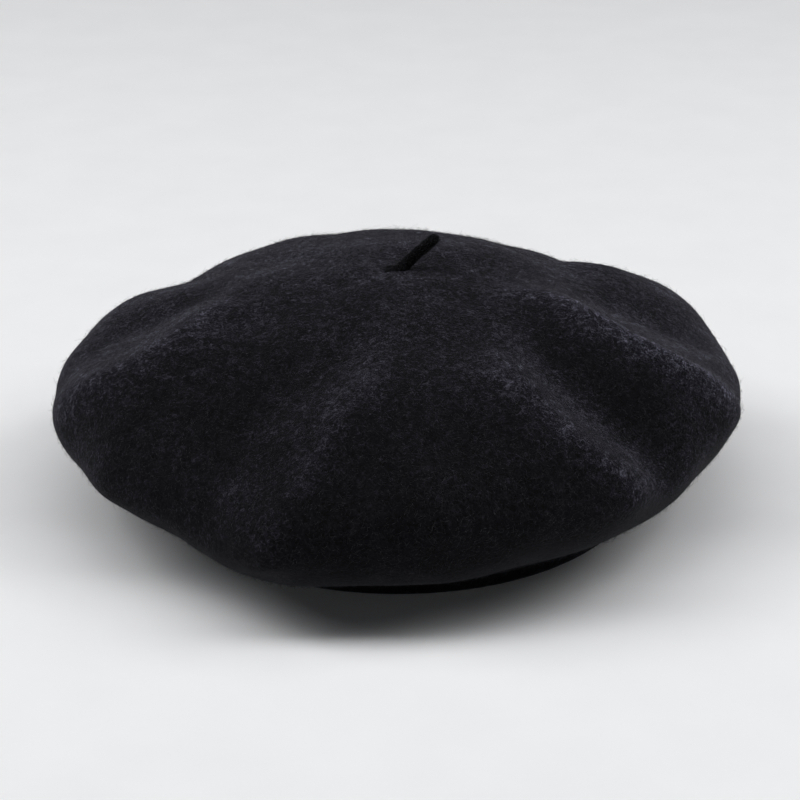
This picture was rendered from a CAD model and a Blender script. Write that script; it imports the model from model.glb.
"""The beret's looks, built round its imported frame: felt, stem, ribbon, labels and thread."""
import math

import bpy
import numpy as np
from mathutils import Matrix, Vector
from mathutils.bvhtree import BVHTree


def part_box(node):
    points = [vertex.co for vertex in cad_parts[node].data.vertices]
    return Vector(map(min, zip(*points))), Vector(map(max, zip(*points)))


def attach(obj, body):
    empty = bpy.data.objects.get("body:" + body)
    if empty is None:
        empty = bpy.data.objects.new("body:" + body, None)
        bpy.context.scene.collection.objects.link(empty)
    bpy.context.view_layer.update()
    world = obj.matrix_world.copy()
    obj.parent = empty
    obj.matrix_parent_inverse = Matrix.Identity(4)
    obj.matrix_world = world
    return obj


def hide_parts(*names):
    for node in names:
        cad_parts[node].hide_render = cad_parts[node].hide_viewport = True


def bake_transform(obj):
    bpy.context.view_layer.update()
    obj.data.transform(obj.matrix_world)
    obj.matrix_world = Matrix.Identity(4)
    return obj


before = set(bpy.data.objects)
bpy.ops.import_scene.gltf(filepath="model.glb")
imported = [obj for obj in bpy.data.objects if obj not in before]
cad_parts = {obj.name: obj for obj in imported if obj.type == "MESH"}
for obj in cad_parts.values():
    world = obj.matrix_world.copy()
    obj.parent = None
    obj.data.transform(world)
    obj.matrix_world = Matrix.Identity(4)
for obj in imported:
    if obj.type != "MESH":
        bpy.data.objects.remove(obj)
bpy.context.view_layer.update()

MM = 0.001

# Driving dimensions of the felt, in millimetres and degrees, as in the CAD
HEAD_RADIUS = 87.1
RIBBON = 0.9
FELT = 1.8
OPENING_RADIUS = HEAD_RADIUS + RIBBON + FELT
CROWN_HEIGHT = 85.6
RIM_STAND = 4.0
SHARE_POWER = 1.75
RISE_POWER = 1.6
TUCK_POWER = 1.55

# The soft edge: azimuth, radius, height, how full it is underneath
EDGE_POINTS = (
    (10, 127.5, 36.0, 2.3),
    (35, 117.0, 44.0, 2.3),
    (65, 121.0, 35.0, 2.3),
    (95, 122.5, 39.5, 2.3),
    (125, 122.0, 38.0, 2.3),
    (150, 118.0, 32.5, 2.3),
    (170, 123.5, 44.0, 2.3),
    (190, 128.5, 38.0, 2.4),
    (210, 124.0, 29.5, 1.7),
    (228, 120.0, 33.5, 2.2),
    (247, 125.5, 26.5, 3.5),
    (270, 122.0, 41.0, 3.6),
    (292, 121.5, 41.0, 2.7),
    (312, 123.5, 33.5, 2.5),
    (331, 121.0, 39.5, 2.6),
    (350, 127.0, 42.0, 2.0),
)
EDGE_SPREAD = 15.0       # degrees over which one point of the edge passes into the next

# Folds of the felt. Each runs along a path of (travel, azimuth) points, where travel is
# 0 at the stem, 1 on the edge and 2 at the rim. Then come its height, its reach towards
# smaller and towards larger azimuths in millimetres, and how peaked its crest is.
FOLDS = (
    # the four ridges in front
    (((0.28, 354), (0.38, 347), (0.48, 341), (0.59, 338),
      (0.72, 336), (0.85, 337.5), (0.96, 342), (1.08, 348)), 9.0, 24, 10, 1.5),
    (((0.42, 187), (0.52, 194), (0.61, 201), (0.7, 203),
      (0.78, 202), (0.87, 200), (0.94, 196), (1.05, 190)), 7.0, 14, 28, 1.8),
    (((0.36, 263), (0.55, 262), (0.66, 261), (0.73, 260),
      (0.82, 257), (0.9, 255), (0.97, 251), (1.3, 244)), 5.5, 12, 18, 1.6),
    (((0.42, 300), (0.6, 298), (0.7, 298.5), (0.78, 299.5),
      (0.85, 302), (0.92, 305), (0.98, 310), (1.08, 316)), 6.5, 26, 12, 1.8),
    # hollows beside the ridges
    (((0.42, 237), (0.65, 237), (0.85, 237), (1.1, 234)), -4.0, 20, 14, 2),
    (((0.42, 322), (0.65, 316), (0.85, 317), (1.08, 323)), -4.0, 12, 12, 2),
    (((0.42, 2), (0.6, 0), (0.8, -2), (1.0, 1)), -3.5, 12, 15, 2),
    (((0.45, 178), (0.7, 183), (0.95, 180)), -3.0, 14, 12, 2),
    (((0.45, 43), (0.6, 43), (0.8, 44), (1.05, 45)), -3.5, 12, 15, 2),
    # soft bulges of the top and the edge
    (((0.05, 62), (0.25, 60), (0.55, 58)), 2.4, 30, 30, 2),
    (((0.55, 26), (0.75, 25), (1.1, 24)), 4.5, 20, 14, 2),
    (((0.75, 158), (0.9, 160), (1.1, 162)), 2.5, 18, 14, 2),
    (((0.8, 214), (0.95, 214), (1.15, 214)), 2.5, 16, 16, 2),
    (((0.85, 281), (0.96, 279), (1.1, 279)), 2.5, 22, 14, 2),
)
FOLD_START = 0.4         # share of its path over which a fold rises
FOLD_END = 0.25          # share of its path over which it fades out

EDGE_FULLNESS = 1.4      # how far the soft edge swells out of its line
EDGE_SWELL_REACH = 0.2   # travel over which that swelling fades
STAND_TRAVEL = 0.12      # travel of the short wall that stands on the floor below the rim

# The crests of the main folds are brushed up lighter
CREST_HEIGHT = 5.0       # folds lower than this have no brushed crest
CREST_FULL = 9.0         # height of the fold with the lightest crest
CREST_WIDTH = 0.38       # width of the brushed crest as a share of the fold's reach


def smooth(value):
    """Smooth step from 0 to 1."""
    value = np.clip(value, 0, 1)
    return value * value * (3 - 2 * value)


def unit(vectors):
    """Vectors scaled to a length of one."""
    return vectors / np.linalg.norm(vectors, axis=-1, keepdims=True)


def turn_between(azimuth, other):
    """Signed turn from one azimuth to another, within half a round."""
    return (azimuth - other + 180) % 360 - 180


def edge(azimuth):
    """Radius, height and fullness of the rolled edge."""
    weights = [np.exp(-((turn_between(azimuth, point[0]) / EDGE_SPREAD) ** 2)) for point in EDGE_POINTS]
    total = sum(weights)
    return [
        sum(weight * point[k] for weight, point in zip(weights, EDGE_POINTS)) / total
        for k in (1, 2, 3)
    ]


def felt_point(azimuth, travel):
    """Point of the felt's outside before its folds, as an array of x, y, z."""
    edge_radius, edge_height, fullness = edge(azimuth)
    share = np.clip(travel, 0, 1)
    top_radius = edge_radius * share
    top_height = edge_height + (CROWN_HEIGHT - edge_height) * (1 - share**SHARE_POWER) ** (1 / RISE_POWER)
    depth = np.clip(travel - 1, 0, 1)
    tuck = (1 - depth**fullness) ** TUCK_POWER
    under_radius = OPENING_RADIUS + (edge_radius - OPENING_RADIUS) * tuck
    under_height = RIM_STAND + (edge_height - RIM_STAND) * (1 - depth)
    under_height = under_height - RIM_STAND * np.clip((travel - 2) / STAND_TRAVEL, 0, 1)
    radius = np.where(travel <= 1, top_radius, under_radius)
    height = np.where(travel <= 1, top_height, under_height)
    turn = np.radians(azimuth)
    return np.stack((radius * np.cos(turn), radius * np.sin(turn), height), -1)


def fold_height(azimuth, travel, radius):
    """How far the folds lift the felt along its normal, and how near each point is to a crest."""
    lift = np.zeros_like(radius)
    crests = np.zeros_like(radius)
    for path, height, reach_less, reach_more, peak in FOLDS:
        along = [point[0] for point in path]
        crest = np.interp(travel, along, [point[1] for point in path])
        aside = radius * np.radians(turn_between(azimuth, crest))
        reach = np.where(aside < 0, reach_less, reach_more)
        shape = np.exp(-(((aside / reach) ** 2 + 0.02) ** (peak / 2)))
        length = along[-1] - along[0]
        fade = smooth((travel - along[0]) / (FOLD_START * length))
        fade *= smooth((along[-1] - travel) / (FOLD_END * length))
        lift += height * shape * fade
        if height > CREST_HEIGHT:
            brushed = np.exp(-((aside / (CREST_WIDTH * reach)) ** 2))
            crests += (height / CREST_FULL) ** 2 * brushed * fade
    return lift, np.clip(crests, 0, 1)


def waviness(points, seed, count, longest, shortest):
    """A gentle random unevenness of about unit size, from a sum of waves in space."""
    rng = np.random.default_rng(seed)
    total = np.zeros(points.shape[:-1])
    for _ in range(count):
        direction = rng.normal(size=3)
        length = math.exp(rng.uniform(math.log(shortest), math.log(longest)))
        wave = direction / np.linalg.norm(direction) * (2 * math.pi / length)
        total += np.sin(points @ wave + rng.uniform(0, 2 * math.pi))
    return total * math.sqrt(2 / count)


def grid_normals(points):
    """Outward normals of a grid of points, rows from stem to rim, columns round it."""
    down = np.gradient(points, axis=0)
    around = np.roll(points, -1, axis=1) - np.roll(points, 1, axis=1)
    return unit(np.cross(down, around))


def mesh_object(name, vertices, face_groups, material):
    """A smooth-shaded mesh object. Vertices are in millimetres, and the faces of one group all
    have the same number of corners."""
    mesh = bpy.data.meshes.new(name)
    corners = np.concatenate([np.ravel(group) for group in face_groups]).astype(np.int32)
    counts = np.concatenate([np.full(len(group), len(group[0])) for group in face_groups])
    mesh.vertices.add(len(vertices))
    mesh.vertices.foreach_set("co", (np.asarray(vertices, float) * MM).ravel())
    mesh.loops.add(len(corners))
    mesh.loops.foreach_set("vertex_index", corners)
    mesh.polygons.add(len(counts))
    mesh.polygons.foreach_set("loop_start", (np.cumsum(counts) - counts).astype(np.int32))
    mesh.update(calc_edges=True)
    mesh.validate()
    mesh.shade_smooth()
    mesh.materials.append(material)
    piece = bpy.data.objects.new(name, mesh)
    bpy.context.scene.collection.objects.link(piece)
    return piece


def grid_faces(rows, columns, closed=True):
    """Quads of a grid that may close on itself sideways."""
    across = columns if closed else columns - 1
    row, column = np.meshgrid(np.arange(rows - 1), np.arange(across), indexing="ij")
    here = row * columns + column
    beside = row * columns + (column + 1) % columns
    return np.stack((here, here + columns, beside + columns, beside), -1).reshape(-1, 4)


# --- Materials ---


SHEEN_TINT = (0.86, 0.86, 1.0, 1.0)


class Nodes:
    """A short way to add and link shader nodes."""

    def __init__(self, name):
        self.material = bpy.data.materials.new(name)
        self.material.use_nodes = True
        self.tree = self.material.node_tree
        self.surface = self.tree.nodes["Principled BSDF"]

    def add(self, kind, **sockets):
        node = self.tree.nodes.new(kind)
        for name, value in sockets.items():
            self.set(node, name.replace("_", " "), value)
        return node

    def set(self, node, socket, value):
        if isinstance(value, bpy.types.NodeSocket):
            self.tree.links.new(value, node.inputs[socket])
        else:
            node.inputs[socket].default_value = value

    def place(self):
        return self.add("ShaderNodeTexCoord").outputs["Object"]

    def noise(self, place, scale, detail=4.0, roughness=0.5, distortion=0.0):
        node = self.add("ShaderNodeTexNoise", Vector=place, Scale=scale, Detail=detail,
                        Roughness=roughness, Distortion=distortion)
        return node.outputs["Fac"]

    def ramp(self, value, stops):
        node = self.add("ShaderNodeValToRGB", Fac=value)
        while len(node.color_ramp.elements) < len(stops):
            node.color_ramp.elements.new(1.0)
        for element, (position, colour) in zip(node.color_ramp.elements, stops):
            element.position = position
            element.color = (*colour, 1)
        return node.outputs["Color"]

    def maths(self, operation, first, second):
        node = self.tree.nodes.new("ShaderNodeMath")
        node.operation = operation
        self.set(node, 0, first)
        self.set(node, 1, second)
        return node.outputs[0]

    def mix(self, parts):
        """Sum of (value, weight) pairs."""
        total = None
        for value, weight in parts:
            part = self.maths("MULTIPLY", value, weight)
            total = part if total is None else self.maths("ADD", total, part)
        return total

    def bump(self, height, strength, distance):
        node = self.add("ShaderNodeBump", Strength=strength, Distance=distance * MM, Height=height)
        self.set(self.surface, "Normal", node.outputs["Normal"])
        return node.outputs["Normal"]

    def between(self, value, low, high, start=0.0, end=1.0):
        """Turns a value between low and high into one between start and end."""
        node = self.add("ShaderNodeMapRange", Value=value, From_Min=low, From_Max=high,
                        To_Min=start, To_Max=end)
        return node.outputs[0]

    def finish(self, colour, roughness, specular, sheen=0.0, sheen_roughness=0.3):
        self.set(self.surface, "Base Color", colour)
        self.set(self.surface, "Roughness", roughness)
        self.set(self.surface, "Specular IOR Level", specular)
        self.set(self.surface, "Sheen Weight", sheen)
        self.set(self.surface, "Sheen Roughness", sheen_roughness)
        self.set(self.surface, "Sheen Tint", SHEEN_TINT)
        return self.material


# Darkest to lightest fibres of the felt, by the value of its mixed noise
FELT_SHADES = (
    (0.42, (0.0009, 0.0009, 0.0013)),
    (0.5, (0.0026, 0.0025, 0.0035)),
    (0.55, (0.0055, 0.0053, 0.0074)),
    (0.62, (0.0140, 0.0137, 0.0185)),
)
CROWN_LIGHTNESS = 0.85
CROWN_GLOW = 7.8         # how much lighter the crown's felt is where it is seen edge on
STEM_LIGHTNESS = 0.5
STEM_GLOW = 1.5
GLOW_POWER = 2.6         # how narrowly that glow keeps to the felt seen edge on
CREST_GLOW = 10.5        # how much lighter a brushed crest is
GLOW_UPWARD = (-0.35, 0.35)    # the glow grows over this range of the normal's upward part
SPECKLE_NOISE = (0.44, 0.6)    # noise at the felt's dark and light speckles
SPECKLE_GLOW = (0.55, 1.8)     # how strongly each of them glows


def felt_material(name, lightness, glow):
    """Fulled wool: dark matted fibres with lighter, slightly blue ones on top. The fibres that
    stand out of it catch the light where the felt is seen edge on and on its brushed crests."""
    nodes = Nodes(name)
    place = nodes.place()
    fibre = nodes.noise(place, scale=780, detail=4, roughness=0.7, distortion=1.6)
    heather = nodes.noise(place, scale=330, detail=4, roughness=0.65, distortion=1.0)
    blotch = nodes.noise(place, scale=55, detail=3)
    mixed = nodes.mix(((fibre, 0.56), (heather, 0.32), (blotch, 0.12)))
    colour = nodes.ramp(mixed, [
        (position, tuple(lightness * value for value in shade)) for position, shade in FELT_SHADES
    ])
    normal = nodes.bump(mixed, strength=1.0, distance=0.6)

    facing = nodes.add("ShaderNodeLayerWeight", Blend=0.5, Normal=normal).outputs["Facing"]
    edge_on = nodes.maths("MULTIPLY", nodes.maths("POWER", facing, GLOW_POWER), glow)
    crest = nodes.add("ShaderNodeAttribute")
    crest.attribute_name = "crest"
    raised = nodes.maths("MULTIPLY", nodes.maths("MULTIPLY", crest.outputs["Fac"], facing), CREST_GLOW)
    direction = nodes.add("ShaderNodeNewGeometry").outputs["Normal"]
    upward = nodes.add("ShaderNodeSeparateXYZ", Vector=direction).outputs["Z"]
    turned_up = nodes.between(upward, *GLOW_UPWARD)
    speckle = nodes.between(mixed, *SPECKLE_NOISE, *SPECKLE_GLOW)
    sheen = nodes.maths("MULTIPLY", nodes.maths("ADD", edge_on, raised), turned_up)
    sheen = nodes.maths("ADD", nodes.maths("MULTIPLY", sheen, speckle), 1.0)
    lit = nodes.add("ShaderNodeVectorMath", Vector=colour)
    lit.operation = "SCALE"
    nodes.set(lit, "Scale", sheen)
    return nodes.finish(lit.outputs["Vector"], 0.95, specular=0.1, sheen=0.08, sheen_roughness=0.3)


# --- Felt crown ---

COLUMNS = 480
TOP_ROWS = 120
ROLL_ROWS = 40
STAND_ROWS = 3
INSIDE_EVERY = 5         # the inside has one row for this many of the outside
ROUNDING = 4.5           # how far the edge's felt is averaged along its columns


def crown_rows():
    """Travel of each row of the crown's outside, from beside the stem to the rim."""
    top = np.sin(np.linspace(0, math.pi / 2, TOP_ROWS + 1)[1:]) ** (2 / SHARE_POWER)
    roll = 1 + np.linspace(0, 1, ROLL_ROWS + 1)[1:]
    stand = 2 + STAND_TRAVEL * np.linspace(0, 1, STAND_ROWS + 1)[1:]
    return np.concatenate((top, roll, stand))


def round_off(points, travel):
    """Averages the felt along each column, so that the edge turns over softly."""
    step = np.linalg.norm(np.diff(points, axis=0), axis=-1)
    run = np.concatenate((np.zeros((1, COLUMNS)), np.cumsum(step, axis=0)))
    share = np.gradient(run, axis=0)
    rounding = ROUNDING * smooth(travel / 0.3) * smooth((2 - travel) / 0.5)
    rounded = points.copy()
    for row in np.flatnonzero(rounding > 0.1 * ROUNDING):
        weight = share * np.exp(-0.5 * ((run - run[row]) / rounding[row]) ** 2)
        rounded[row] = (weight[..., None] * points).sum(0) / weight.sum(0)[..., None]
    return rounded


def crown_surface():
    """Grid of points on the folded outside of the felt, its normals, and how near a crest each is."""
    azimuth, travel = np.meshgrid(np.arange(COLUMNS) * 360 / COLUMNS, crown_rows())
    points = felt_point(azimuth, travel)
    normals = grid_normals(points)
    radius = np.linalg.norm(points[..., :2], axis=-1)
    lift, crests = fold_height(azimuth, travel, radius)
    uneven = 0.4 * waviness(points, seed=3, count=40, longest=60, shortest=30)
    uneven += 0.07 * waviness(points, seed=5, count=60, longest=26, shortest=12)
    lift += uneven * smooth((2 - travel) / 0.4) * smooth(radius / 12)
    lift += EDGE_FULLNESS * np.exp(-(((travel - 1) / EDGE_SWELL_REACH) ** 2))
    points = round_off(points + normals * lift[..., None], travel[:, 0])
    return points, grid_normals(points), crests


def make_crown(outside, normals, crests, material):
    """The felt as one closed shell, with its brushed crests marked on its vertices."""
    rows = len(outside)
    keep = list(range(0, rows - 1, INSIDE_EVERY)) + [rows - 1]
    inside = (outside - normals * FELT)[keep][::-1]
    middles = [outside[0].mean(0), inside[-1].mean(0)]
    vertices = np.concatenate((outside.reshape(-1, 3), inside.reshape(-1, 3), middles))
    last_ring = (rows + len(keep) - 1) * COLUMNS
    column = np.arange(COLUMNS)
    after = (column + 1) % COLUMNS
    top = np.full(COLUMNS, len(vertices) - 2)
    caps = np.concatenate((
        np.stack((top, column, after), -1),
        np.stack((top + 1, last_ring + after, last_ring + column), -1),
    ))
    walls = grid_faces(rows + len(keep), COLUMNS)
    shell = mesh_object("felt_crown_shell", vertices, [walls, caps], material)
    marks = np.zeros(len(vertices))
    marks[:crests.size] = crests.ravel()
    shell.data.attributes.new("crest", "FLOAT", "POINT").data.foreach_set("value", marks)
    return shell


outside, outside_normals, crests = crown_surface()
wool_felt = felt_material("wool_felt", CROWN_LIGHTNESS, CROWN_GLOW)
crown = make_crown(outside, outside_normals, crests, wool_felt)
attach(crown, "crown")
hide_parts("felt_crown")

# --- Loose fibres on the felt ---

FUZZ_PIECES = 4
FIBRES_PER_PIECE = 13500
FIBRE_RADIUS = 0.028
FIBRE_TAPER = (1.15, 1.0, 0.7)     # radius at the root, the middle and the tip, as a share
FIBRE_LENGTH_LOG = (0.35, 0.45)    # mean and spread of the logarithm of a fibre's length
FIBRE_LENGTHS = (0.6, 4.5)         # shortest and longest fibre
FIBRE_STAND = (0.15, 0.75)         # how steeply fibres stand out of the felt
FIBRE_CURL = 0.35
FIBRE_STEPS = np.array((0, 0.5, 1.0))[None, :, None]


def frames(centres):
    """Two directions square to each of many lines at each of their points."""
    along = unit(np.gradient(centres, axis=1))
    helper = np.where(np.abs(along[..., 2:3]) < 0.9, [0, 0, 1.0], [1.0, 0, 0])
    first = unit(np.cross(along, helper))
    return first, np.cross(along, first)


def tube_rings(centres, radii, sides):
    """Rings of points round many lines at once: centres is (lines, points, 3)."""
    first, second = frames(centres)
    turn = np.arange(sides) * 2 * math.pi / sides
    around = first[..., None, :] * np.cos(turn)[:, None]
    around = around + second[..., None, :] * np.sin(turn)[:, None]
    return centres[..., None, :] + around * radii[..., None, None]


def tubes(centres, radii, sides):
    """Vertices and faces of closed tubes along many lines at once."""
    lines, points = centres.shape[:2]
    rings = tube_rings(centres, radii, sides)
    wall = grid_faces(points, sides)[:, ::-1]
    start = np.arange(lines)[:, None, None] * points * sides
    walls = (start + wall).reshape(-1, 4)
    ends = np.stack((np.arange(sides)[::-1], (points - 1) * sides + np.arange(sides)))
    caps = (start + ends).reshape(-1, sides)
    return rings.reshape(-1, 3), [walls, caps]


def lying(rng, normals):
    """A random direction along the surface for each of its normals."""
    lie = rng.normal(size=normals.shape)
    return unit(lie - normals * (lie * normals).sum(-1, keepdims=True))


def make_fuzz(outside, normals, material):
    """Short fibres that stand out of the felt, spread evenly over its outside."""
    rng = np.random.default_rng(11)
    rows = len(outside) - STAND_ROWS - 1
    down = np.linalg.norm(outside[1:rows + 1] - outside[:rows], axis=-1)
    around = np.linalg.norm(np.roll(outside, -1, axis=1) - outside, axis=-1)[:rows]
    chance = (down * around).ravel()
    chance /= chance.sum()
    count = FUZZ_PIECES * FIBRES_PER_PIECE
    cell = rng.choice(chance.size, count, p=chance)
    row, column = np.divmod(cell, COLUMNS)
    part, side = rng.random((2, count, 1))
    after = (column + 1) % COLUMNS
    upper = outside[row, column] * (1 - side) + outside[row, after] * side
    lower = outside[row + 1, column] * (1 - side) + outside[row + 1, after] * side
    root = upper * (1 - part) + lower * part
    normal = normals[row, column]
    lie = lying(rng, normal)
    sweep = np.cross(normal, lie)
    length = np.exp(rng.normal(*FIBRE_LENGTH_LOG, (count, 1))).clip(*FIBRE_LENGTHS)
    stand = rng.uniform(*FIBRE_STAND, (count, 1))
    curl = rng.normal(0, FIBRE_CURL, (count, 1))
    rise = (stand * length)[:, None] * FIBRE_STEPS * (1.25 - 0.55 * FIBRE_STEPS)
    reach = (np.sqrt(1 - stand**2) * length)[:, None] * FIBRE_STEPS
    bend = (curl * length)[:, None] * FIBRE_STEPS**2
    lines = root[:, None] - 0.15 * normal[:, None] + normal[:, None] * rise
    lines = lines + lie[:, None] * reach + sweep[:, None] * bend
    lines[..., 2] = np.maximum(lines[..., 2], 0.1)
    radii = FIBRE_RADIUS * np.tile(FIBRE_TAPER, (count, 1))
    order = np.argsort(np.arctan2(root[:, 1], root[:, 0]))
    for number, chosen in enumerate(np.array_split(order, FUZZ_PIECES), 1):
        vertices, faces = tubes(lines[chosen], radii[chosen], 3)
        fuzz = mesh_object("felt_fuzz_%d" % number, vertices, faces, material)
        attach(fuzz, "crown")


def fibre_material():
    """Single wool fibres, some of them much paler than the felt."""
    nodes = Nodes("wool_fibre")
    colour = nodes.ramp(nodes.noise(nodes.place(), scale=900, detail=3), (
        (0.4, (0.004, 0.004, 0.006)),
        (0.52, (0.012, 0.012, 0.0165)),
        (0.62, (0.045, 0.045, 0.05)),
    ))
    return nodes.finish(colour, 0.7, specular=0.3)


wool_fibre = fibre_material()
make_fuzz(outside, outside_normals, wool_fibre)

# --- Stem ---

STEM_FOOT = np.array((0.1, 0, 83.6))
STEM_BEND = np.array((2.6, 0, 88.6))
STEM_END = np.array((14.6, 0, 98.35))
STEM_LENGTH = 20.0
STEM_RADIUS = 2.15
STEM_FLARE = 3.6         # how much wider the stem is at its foot
STEM_FLARE_REACH = 0.1   # share of its length over which the flare fades
STEM_RINGS = 60
STEM_SIDES = 36
STEM_FIBRES = 1500


def stem_line(part):
    """Centre of the stem, from inside the felt to its end."""
    part = np.asarray(part, float)[..., None]
    return (1 - part) ** 2 * STEM_FOOT + 2 * part * (1 - part) * STEM_BEND + part**2 * STEM_END


def stem_radius(part):
    """The stem flares where it grows out of the felt, and ends in a dome."""
    left = np.clip((1 - part) * STEM_LENGTH / STEM_RADIUS, 0, 1)
    flare = STEM_FLARE * np.exp(-part / STEM_FLARE_REACH)
    return (STEM_RADIUS + flare) * np.sqrt(1 - (1 - left) ** 2.4)


def make_stem(material):
    """The felted cord, a little lumpy, and the rings of points round it."""
    part = np.linspace(0, 1, STEM_RINGS) ** 0.85
    part[-1] = 0.9995
    rings = tube_rings(stem_line(part)[None], stem_radius(part)[None], STEM_SIDES)[0]
    middle = stem_line(part)[:, None]
    lumps = 1 + 0.045 * waviness(rings, seed=21, count=40, longest=6, shortest=1.6)
    rings = middle + (rings - middle) * lumps[..., None]
    vertices = np.concatenate((rings.reshape(-1, 3), [stem_line(0.0), stem_line(1.0)]))
    side = np.arange(STEM_SIDES)
    after = (side + 1) % STEM_SIDES
    last = (STEM_RINGS - 1) * STEM_SIDES
    foot = np.full(STEM_SIDES, len(vertices) - 2)
    caps = np.concatenate((
        np.stack((foot, side, after), -1),
        np.stack((foot + 1, last + after, last + side), -1),
    ))
    walls = grid_faces(STEM_RINGS, STEM_SIDES)[:, ::-1]
    return mesh_object("stem_cord", vertices, [walls, caps], material), rings


def make_stem_fuzz(rings, material):
    """Short fibres on the stem."""
    rng = np.random.default_rng(12)
    row = rng.integers(4, STEM_RINGS - 1, STEM_FIBRES)
    side = rng.integers(0, STEM_SIDES, STEM_FIBRES)
    root = rings[row, side]
    out = unit(root - rings[row].mean(1))
    lie = lying(rng, out)
    length = rng.uniform(0.3, 1.1, (STEM_FIBRES, 1, 1))
    path = out[:, None] * 0.45 * FIBRE_STEPS + lie[:, None] * FIBRE_STEPS**1.2
    lines = root[:, None] - 0.1 * out[:, None] + length * path
    vertices, faces = tubes(lines, np.full((STEM_FIBRES, 3), FIBRE_RADIUS), 3)
    return mesh_object("stem_fuzz", vertices, faces, material)


stem, stem_rings = make_stem(felt_material("stem_felt", STEM_LIGHTNESS, STEM_GLOW))
stem_fuzz = make_stem_fuzz(stem_rings, wool_fibre)
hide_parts("stem")
for piece in (stem, stem_fuzz):
    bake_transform(piece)

# --- Thread, ribbon and labels ---

THREAD_RADIUS = 0.25
STITCH_ARCH = 0.24       # how far a stitch stands out of the ribbon
SWEATBAND_HEIGHT = 25.0
RIBS = 620
RIB_HEIGHT = 0.11
RIB_INSET = 0.12         # the ribs stay within the ribbon's thickness
RIBBON_ROUNDING = 0.4    # how far in from its selvedges the ribbon is rounded
RIBBON_LEAN = 0.25       # how far its upper edge leans out here and there
HEM_HEIGHT = 3.0
HEM_STITCHES = 96
HEM_STITCH = 3.4
LAP_WIDTH = 12.0
LAP_ROW_PLACE = 4.0      # how far each row of lap stitches is from the lap's middle
LAP_STITCHES = 5         # stitches in each row
LAP_STITCH = 2.6
LABEL_LENGTH = 54.0
LABEL_WIDTH = 30.0
LABEL_THICKNESS = 0.36
LABEL_TURNED = 0.18      # how much thicker the turned-under ends are
LABEL_TURN_LENGTH = 5.5
LABEL_FRAME = 0.09       # height of the woven line that runs inside the label's edges
LABEL_RIB = 0.025
LABEL_COLUMNS = 181
LABEL_ROWS = 101
LABEL_CENTRE_Y = 26.0
LABEL_MARGIN = 1.6
LABEL_THREAD_RADIUS = 0.2
LABEL_STITCH = 2.4
LABEL_PITCH = 3.4
STITCH_DEPTH = 0.5       # how far below the felt's inside the thread lies
CARE_WIDTH = 16.0
CARE_LENGTH = 24.0
CARE_COLUMNS = 41
BACK = 90.0              # azimuth of the ribbon's lap


def thread_material():
    """Spun thread: dark, a little shiny and finely mottled."""
    nodes = Nodes("sewing_thread")
    place = nodes.place()
    fine = nodes.noise(place, scale=5000, detail=3, roughness=0.6)
    mixed = nodes.mix(((fine, 0.6), (nodes.noise(place, scale=600, detail=2), 0.4)))
    colour = nodes.ramp(mixed, (
        (0.38, (0.006, 0.006, 0.008)),
        (0.52, (0.016, 0.016, 0.02)),
        (0.64, (0.05, 0.05, 0.055)),
    ))
    nodes.bump(mixed, strength=0.5, distance=0.06)
    return nodes.finish(colour, 0.55, specular=0.4, sheen=0.1, sheen_roughness=0.4)


def ribbon_material():
    """Grosgrain: silky warp over thick ribs, which are in the mesh."""
    nodes = Nodes("grosgrain_ribbon")
    place = nodes.place()
    fine = nodes.noise(place, scale=6500, detail=2)
    streak = nodes.noise(place, scale=240, detail=4, roughness=0.6)
    mixed = nodes.mix(((fine, 0.55), (streak, 0.45)))
    colour = nodes.ramp(mixed, (
        (0.36, (0.004, 0.004, 0.005)),
        (0.5, (0.012, 0.012, 0.0145)),
        (0.64, (0.03, 0.03, 0.035)),
    ))
    nodes.bump(mixed, strength=0.45, distance=0.05)
    return nodes.finish(colour, 0.46, specular=0.5, sheen=0.15, sheen_roughness=0.35)


def label_material(name, dark, light, roughness):
    """A woven label: fine crossing threads with a little unevenness."""
    nodes = Nodes(name)
    place = nodes.place()
    weave = nodes.add("ShaderNodeTexChecker", Vector=place, Scale=3600.0,
                      Color1=(1, 1, 1, 1), Color2=(0, 0, 0, 1)).outputs["Fac"]
    fine = nodes.noise(place, scale=3000, detail=3, roughness=0.6)
    uneven = nodes.noise(place, scale=160, detail=3)
    mixed = nodes.mix(((weave, 0.25), (fine, 0.45), (uneven, 0.3)))
    colour = nodes.ramp(mixed, ((0.3, dark), (0.7, light)))
    nodes.bump(mixed, strength=0.5, distance=0.05)
    return nodes.finish(colour, roughness, specular=0.4, sheen=0.08, sheen_roughness=0.4)


PLY_SIDES = 7


def thread_object(name, centres, radius, twists, material):
    """Sewing thread along many lines at once: two plies twisted round each other."""
    first, second = frames(centres)
    part = np.linspace(0, 1, centres.shape[1])[:, None]
    plies = []
    for start in (0, math.pi):
        turn = 2 * math.pi * twists * part + start
        plies.append(centres + 0.5 * radius * (first * np.cos(turn) + second * np.sin(turn)))
    plies = np.concatenate(plies)
    vertices, faces = tubes(plies, np.full(plies.shape[:2], 0.56 * radius), PLY_SIDES)
    return mesh_object(name, vertices, faces, material)


def stitch_lines(starts, ends, outward, arch, points=15):
    """Centre lines of stitches that arch out of a surface and dip into it at their ends."""
    part = np.linspace(0, 1, points)[None, :, None]
    starts, ends, outward = (np.asarray(value, float)[:, None] for value in (starts, ends, outward))
    return starts + (ends - starts) * part + outward * arch * (1.9 * np.sin(math.pi * part) ** 0.6 - 1.0)


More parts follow.
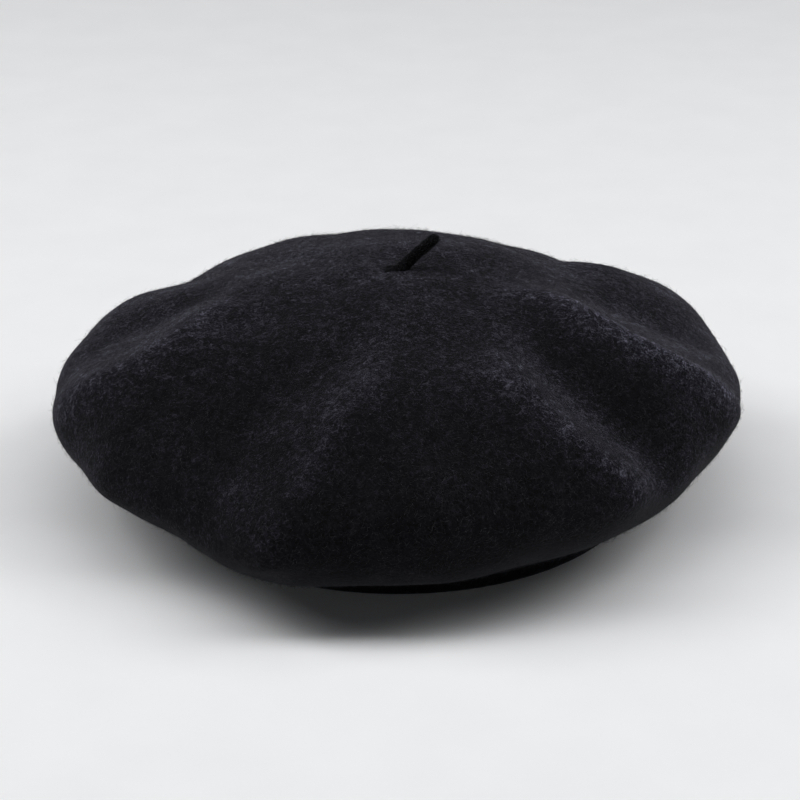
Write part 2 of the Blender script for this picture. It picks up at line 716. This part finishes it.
def make_sweatband(material):
    """A grosgrain ribbon whose ends lap at the back, outside the first turn."""
    lap = math.degrees(LAP_WIDTH / HEAD_RADIUS)
    columns = 3 * RIBS + 1
    run = np.linspace(0, 360 + lap, columns)
    turn = np.radians(BACK - lap / 2 + run)
    inner = HEAD_RADIUS + (RIBBON + 0.05) * (1 - smooth((run - lap) / (0.35 * lap)))
    border = np.array((0.0, 0.35, 0.8))
    between = np.linspace(1.6, SWEATBAND_HEIGHT - 1.6, 9)
    heights = np.concatenate((border, between, SWEATBAND_HEIGHT - border[::-1]))[:, None]
    selvedge = np.minimum(heights, SWEATBAND_HEIGHT - heights)
    rib = RIB_HEIGHT * np.cos(np.arange(columns) * 2 * math.pi / 3) * smooth(selvedge / 0.9)
    lean = RIBBON_LEAN * (0.5 + 0.5 * np.sin(3 * turn + 1))
    lean = lean * smooth((heights - 6) / 19) * smooth(selvedge / 30)
    rounded = (RIBBON / 2) * (1 - np.sqrt(np.clip(selvedge / RIBBON_ROUNDING, 0, 1))) + RIB_INSET
    face = inner + rounded + rib + lean
    rear = inner + RIBBON - rounded + rib + lean

    def wall(radius):
        height = np.broadcast_to(heights, radius.shape)
        return np.stack((radius * np.cos(turn), radius * np.sin(turn), height), -1)

    loop = np.concatenate((wall(face), wall(rear)[::-1]))
    rows = len(loop)
    strips = grid_faces(rows, columns, closed=False)
    first = np.arange(columns - 1)
    last = (rows - 1) * columns
    closing = np.stack((last + first, first, first + 1, last + first + 1), -1)
    ends = [np.arange(rows)[None] * columns, (np.arange(rows)[::-1] * columns + columns - 1)[None]]
    return mesh_object("grosgrain_sweatband", loop.reshape(-1, 3), [strips, closing, *ends], material)


def hem_stitches():
    """Centre lines of the stitches round the ribbon's lower edge, a little uneven by hand."""
    turn = 2 * math.pi * np.arange(HEM_STITCHES) / HEM_STITCHES
    half = HEM_STITCH / 2 / HEAD_RADIUS
    rng = np.random.default_rng(31)
    place = []
    for side in (-half, half):
        height = HEM_HEIGHT + rng.normal(0, 0.06, HEM_STITCHES)
        x, y = HEAD_RADIUS * np.cos(turn + side), HEAD_RADIUS * np.sin(turn + side)
        place.append(np.stack((x, y, height), -1))
    inward = -np.stack((np.cos(turn), np.sin(turn), 0 * turn), -1)
    return stitch_lines(*place, inward, STITCH_ARCH)


def lap_stitches():
    """Centre lines of the two rows of stitches that close the ribbon's lap."""
    first = HEM_HEIGHT + 2 * THREAD_RADIUS + LAP_STITCH / 2
    pitch = (SWEATBAND_HEIGHT - first) / LAP_STITCHES
    starts = np.array([
        (side, math.sqrt(HEAD_RADIUS**2 - side**2), first + number * pitch)
        for side in (-LAP_ROW_PLACE, LAP_ROW_PLACE) for number in range(LAP_STITCHES)
    ])
    inward = -starts * (1, 1, 0) / HEAD_RADIUS
    return stitch_lines(starts, starts + (0, 0, LAP_STITCH), inward, STITCH_ARCH)


thread = thread_material()
ribbon = make_sweatband(ribbon_material())
hem = thread_object("hem_thread", hem_stitches(), THREAD_RADIUS, 3, thread)
lap = thread_object("lap_thread", lap_stitches(), THREAD_RADIUS, 2.5, thread)

crown_tree = BVHTree.FromObject(crown, bpy.context.evaluated_depsgraph_get())


def ceiling(x, y):
    """Height of the inside of the felt over the point x, y, in millimetres."""
    hit = crown_tree.ray_cast(Vector((x, y, 0)) * MM, Vector((0, 0, 1)))[0]
    return hit.z / MM


def slab(name, lower, upper, material):
    """A closed thin piece between two grids of points, rows by columns."""
    rows, columns = lower.shape[:2]
    count = rows * columns
    under = grid_faces(rows, columns, closed=False)
    border = np.concatenate((
        np.arange(columns), np.arange(1, rows) * columns + columns - 1,
        (rows - 1) * columns + np.arange(columns - 1)[::-1], np.arange(1, rows - 1)[::-1] * columns,
    ))
    beside = np.roll(border, -1)
    walls = np.stack((border, beside, beside + count, border + count), -1)
    vertices = np.concatenate((lower.reshape(-1, 3), upper.reshape(-1, 3)))
    return mesh_object(name, vertices, [under, under[:, ::-1] + count, walls], material)


def make_label(material):
    """A blank label, its short ends turned under, with the fine ribs of its weave."""
    xs = np.linspace(-LABEL_LENGTH / 2, LABEL_LENGTH / 2, LABEL_COLUMNS)
    ys = LABEL_CENTRE_Y + np.linspace(-LABEL_WIDTH / 2, LABEL_WIDTH / 2, LABEL_ROWS)
    coarse_xs, coarse_ys = xs[::6], ys[::5]
    roof = np.array([[ceiling(x, y) for x in coarse_xs] for y in coarse_ys])
    roof = np.array([np.interp(xs, coarse_xs, row) for row in roof])
    roof = np.array([np.interp(ys, coarse_ys, column) for column in roof.T]).T
    across = LABEL_LENGTH / 2 - np.abs(xs)[None]
    along = LABEL_WIDTH / 2 - np.abs(ys - LABEL_CENTRE_Y)[:, None]
    turned = LABEL_TURNED * smooth((LABEL_TURN_LENGTH - across) / 0.6)
    woven_frame = LABEL_FRAME * np.exp(-(((np.minimum(across, along) - 4) / 0.5) ** 2))
    weave = LABEL_RIB * np.cos(np.arange(LABEL_COLUMNS) * math.pi)[None]
    weave = weave * np.cos(np.arange(LABEL_ROWS) * math.pi / 2)[:, None]
    rolled = 0.22 * (1 - smooth(np.minimum(across, along) / 0.7))
    thickness = LABEL_THICKNESS + turned + woven_frame + weave - rolled
    x, y = np.meshgrid(xs, ys)
    lower, upper = (np.stack((x, y, height), -1) for height in (roof - thickness, roof + 0.05))
    return slab("woven_maker_label", lower, upper, material)


def stitch_middles(length):
    """Middles of the stitches along one edge of the label."""
    count = int(length / LABEL_PITCH)
    return (np.arange(count) + 0.5) * length / count - length / 2


def label_stitches():
    """Centre lines of the stitches inside each edge of the label."""
    long_edge, short_edge = LABEL_LENGTH - 2 * LABEL_MARGIN, LABEL_WIDTH - 2 * LABEL_MARGIN
    half = LABEL_STITCH / 2
    spans = [
        ((x - half, y), (x + half, y))
        for y in (LABEL_CENTRE_Y - short_edge / 2, LABEL_CENTRE_Y + short_edge / 2)
        for x in stitch_middles(long_edge)
    ] + [
        ((x, y - half), (x, y + half))
        for x in (-long_edge / 2, long_edge / 2)
        for y in LABEL_CENTRE_Y + stitch_middles(short_edge)
    ]
    starts, ends = ([(x, y, ceiling(x, y) - STITCH_DEPTH) for x, y in side] for side in zip(*spans))
    return stitch_lines(starts, ends, np.tile((0, 0, -1.0), (len(spans), 1)), 0.2)


label = make_label(label_material("woven_label", (0.018, 0.018, 0.021), (0.075, 0.075, 0.082), 0.6))
label_thread = thread_object("label_thread", label_stitches(), LABEL_THREAD_RADIUS, 2.5, thread)

# The care label hangs from under the maker label's front edge
CARE_GAP = 0.75          # between the middles of its two layers
CARE_LAYER = 0.3         # thickness of a layer
CARE_BOW = 0.5           # how far its two layers bow out
CARE_SWAY = 0.35         # how far its lower end waves
CARE_Y = LABEL_CENTRE_Y - LABEL_WIDTH / 2 + 0.6
CARE_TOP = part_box("care_label")[1].z / MM


def make_care_label(material):
    """One strip of satin folded in the middle, both ends sewn under the maker label."""
    half = CARE_GAP / 2
    down = np.linspace(0.35, -(CARE_LENGTH - half), 60)
    bow = CARE_BOW * np.sin(np.clip(-down / CARE_LENGTH, 0, 1) * math.pi)
    front = np.stack((CARE_Y - half * smooth((0.3 - down) / 2) - 0.35 * bow, CARE_TOP + down), -1)
    rear = np.stack((CARE_Y + half * smooth((0.3 - down) / 2) + 0.25 * bow, CARE_TOP + down), -1)
    turn = np.linspace(0, math.pi, 14)[1:-1]
    fold = np.stack((CARE_Y - half * np.cos(turn), CARE_TOP + down[-1] - 0.8 * half * np.sin(turn)), -1)
    line = np.concatenate((front, fold, rear[::-1]))
    tangent = unit(np.gradient(line, axis=0))
    side = np.stack((tangent[:, 1], -tangent[:, 0]), -1) * CARE_LAYER / 2
    xs = np.linspace(-CARE_WIDTH / 2, CARE_WIDTH / 2, CARE_COLUMNS)[:, None]
    hang = np.clip((CARE_TOP - line[:, 1]) / CARE_LENGTH, 0, 1)
    sway = CARE_SWAY * hang**1.5 * np.sin(xs * 0.35 + 0.6)
    outer, inner = (
        np.stack(np.broadcast_arrays(xs, face[:, 0] + sway, face[:, 1]), -1)
        for face in (line + side, line - side)
    )
    return slab("satin_care_label", outer, inner, material)


care = make_care_label(label_material("satin_label", (0.5, 0.485, 0.45), (0.68, 0.66, 0.62), 0.35))

# The stem's holding stitches, inside the crown
ANCHOR_REACH = 1.3
ANCHOR_THREAD_RADIUS = 0.35


def anchor_lines():
    """The stitches that hold the stem, inside the crown: two side by side and one across them."""
    z = ceiling(0, 0) - STITCH_DEPTH
    apart = ANCHOR_THREAD_RADIUS
    starts = ((-apart, -ANCHOR_REACH, z), (apart, -ANCHOR_REACH, z), (-ANCHOR_REACH, 0, z))
    ends = ((-apart, ANCHOR_REACH, z), (apart, ANCHOR_REACH, z), (ANCHOR_REACH, 0, z))
    return stitch_lines(starts, ends, np.tile((0, 0, -1.0), (3, 1)), 0.9)


anchor = thread_object("stem_anchor_stitches", anchor_lines(), ANCHOR_THREAD_RADIUS, 2, thread)

for piece, node, look in (
    (ribbon, "sweatband", "grosgrain"),
    (hem, "sweatband_hem_stitches", "thread"),
    (lap, "sweatband_lap_stitches", "thread"),
    (label, "maker_label", "woven_label"),
    (label_thread, "maker_label_stitches", "thread"),
    (anchor, "stem_anchor_thread", "thread"),
):
    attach(piece, "crown")
    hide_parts(node)
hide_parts("care_label")
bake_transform(care)

# --- Studio ---

AIM = Vector((0.6, 0, 32.5)) * MM
CAMERA_DISTANCE = 920 * MM
CAMERA_ELEVATION = math.radians(25)
LENS = 110.5
FLOOR_REACH = 3000
PAPER = ((0.3, (0.85, 0.855, 0.87)), (0.7, (0.87, 0.875, 0.885)))
# Brightness of the room by the height of the direction: a pale horizon below a dim ceiling
ROOM = ((0.17, (0.6, 0.61, 0.62)), (0.27, (0.02, 0.0204, 0.0208)))
# Name, place and size in metres, power in watts
LIGHTS = (
    ("overhead_strip", (0, -0.12, 1.8), (2.6, 0.55), 20),
    ("left_softbox", (-1.3, 0.05, 1.25), (0.9, 0.9), 12),
    ("right_softbox", (1.3, 0.05, 1.25), (0.9, 0.9), 12),
)


def make_camera():
    """A long lens in front of the beret, looking down on it."""
    data = bpy.data.cameras.new("camera")
    data.lens = LENS
    data.sensor_width = 36
    camera = bpy.data.objects.new("camera", data)
    back = Vector((0, -math.cos(CAMERA_ELEVATION), math.sin(CAMERA_ELEVATION)))
    camera.location = AIM + back * CAMERA_DISTANCE
    camera.rotation_euler = back.to_track_quat("Z", "Y").to_euler()
    bpy.context.scene.collection.objects.link(camera)
    bpy.context.scene.camera = camera


def make_light(name, place, size, power):
    """A rectangular soft light turned to the beret."""
    data = bpy.data.lights.new(name, "AREA")
    data.shape = "RECTANGLE"
    data.size, data.size_y = size
    data.energy = power
    light = bpy.data.objects.new(name, data)
    light.location = place
    light.rotation_euler = (Vector(place) - AIM).to_track_quat("Z", "Y").to_euler()
    bpy.context.scene.collection.objects.link(light)


def make_floor():
    """Pale paper, very slightly uneven in tone."""
    nodes = Nodes("floor_paper")
    colour = nodes.ramp(nodes.noise(nodes.place(), scale=30, detail=3), PAPER)
    nodes.finish(colour, 0.9, specular=0.2)
    reach = FLOOR_REACH
    corners = [(-reach, -reach, 0), (reach, -reach, 0), (reach, reach, 0), (-reach, reach, 0)]
    floor = mesh_object("floor", corners, [[(0, 1, 2, 3)]], nodes.material)


def make_world():
    """The room: dim all round, apart from a pale band along the horizon."""
    world = bpy.data.worlds.new("studio")
    world.use_nodes = True
    nodes = Nodes("studio_sky")
    bpy.data.materials.remove(nodes.material)
    nodes.tree = world.node_tree
    direction = nodes.add("ShaderNodeTexCoord").outputs["Generated"]
    height = nodes.add("ShaderNodeSeparateXYZ", Vector=direction).outputs["Z"]
    nodes.set(world.node_tree.nodes["Background"], "Color", nodes.ramp(height, ROOM))
    bpy.context.scene.world = world


make_camera()
make_floor()
make_world()
for light in LIGHTS:
    make_light(*light)
bpy.context.scene.view_settings.view_transform = "Standard"
